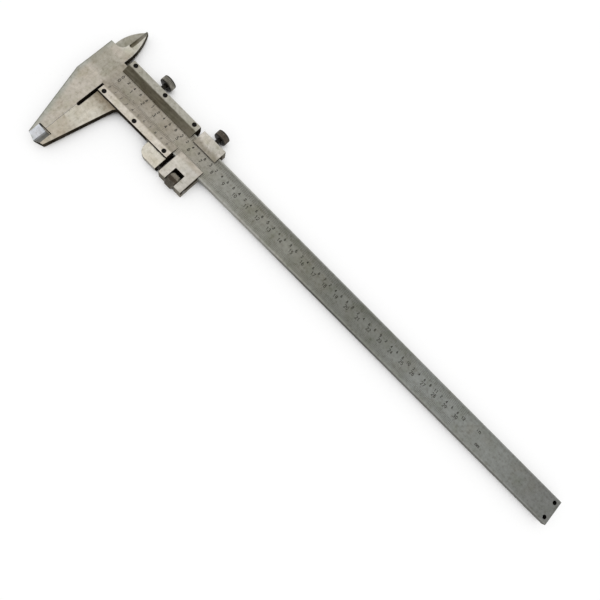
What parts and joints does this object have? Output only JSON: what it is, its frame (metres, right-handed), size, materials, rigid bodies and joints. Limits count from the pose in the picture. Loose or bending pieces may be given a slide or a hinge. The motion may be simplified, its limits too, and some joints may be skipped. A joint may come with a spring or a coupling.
{
  "type": "vernier caliper",
  "caption": "Long steel vernier caliper with outside and inside jaws, a slider with bevelled front strips, knurled clamp screws and a fine-adjustment carriage with a feed nut.",
  "frame": {"origin": "In the plane that the slider's back lies on, at the measuring plane of the closed outside jaws and on the centre line of the beam.", "axes": "+X along the beam to its free end, +Y across the beam towards the inside jaws, +Z out of the face with the scales."},
  "size_m": [0.4142, 0.0997, 0.0098],
  "materials": {
    "head_steel": "aged satin with brownish mottling",
    "beam_steel": "aged satin, ground along its length",
    "slider_steel": "aged satin",
    "knob_steel": "dark knurled",
    "screw_steel": "blackened",
    "pin_steel": "ground",
    "spring_steel": "rolled",
    "pad_brass": "turned"
  },
  "bodies": {
    "beam": {"beam": "beam_steel", "fixed_jaw": "head_steel", "head_dowels": "pin_steel"},
    "slider": {"inside_jaw_plate": "slider_steel", "upper_rail": "slider_steel", "movable_outside_jaw": "slider_steel", "upper_strip": "slider_steel", "vernier_strip": "slider_steel", "upper_strip_screws": "screw_steel", "vernier_strip_screws": "screw_steel", "slider_gib_spring": "spring_steel", "feed_spindle": "pin_steel", "spindle_pin": "pin_steel"},
    "slider_clamp_pad": {"slider_clamp_pad": "pad_brass"},
    "slider_clamp_screw": {"slider_clamp_screw": "knob_steel"},
    "carriage": {"carriage_body": "slider_steel", "carriage_gib_spring": "spring_steel"},
    "carriage_clamp_pad": {"carriage_clamp_pad": "pad_brass"},
    "carriage_clamp_screw": {"carriage_clamp_screw": "knob_steel"},
    "feed_nut": {"feed_nut": "knob_steel"}
  },
  "joints": [
    {"name": "slider_slide", "type": "slide", "parent": "beam", "child": "slider", "axis": [1, 0, 0], "range_m": [0, 0.3]},
    {"name": "slider_clamp_press", "type": "slide", "parent": "slider", "child": "slider_clamp_pad", "axis": [0, -1, 0], "range_m": [-0.0005, 0.000125]},
    {"name": "slider_clamp_turn", "type": "hinge", "parent": "slider_clamp_pad", "child": "slider_clamp_screw", "pos_m": [0.0246, 0.0171, 0.00505], "axis": [0, -1, 0], "range_deg": [-362, 92]},
    {"name": "feed_slide", "type": "slide", "parent": "slider", "child": "carriage", "axis": [1, 0, 0], "range_m": [-0.0027, 0.0045]},
    {"name": "carriage_clamp_press", "type": "slide", "parent": "carriage", "child": "carriage_clamp_pad", "axis": [0, -1, 0], "range_m": [-0.0005, 0.000125]},
    {"name": "carriage_clamp_turn", "type": "hinge", "parent": "carriage_clamp_pad", "child": "carriage_clamp_screw", "pos_m": [0.0725, 0.0171, 0.00505], "axis": [0, -1, 0], "range_deg": [-362, 92]},
    {"name": "nut_spin", "type": "hinge", "parent": "carriage", "child": "feed_nut", "pos_m": [0.0724, -0.0218, 0.00505], "axis": [1, 0, 0], "range_deg": [-2165, 3605]}
  ],
  "couplings": [
    {"joint": "slider_clamp_turn", "follows": "slider_clamp_press", "rad_per_m": 12566},
    {"joint": "carriage_clamp_turn", "follows": "carriage_clamp_press", "rad_per_m": 12566},
    {"joint": "nut_spin", "follows": "feed_slide", "rad_per_m": 13963}
  ]
}
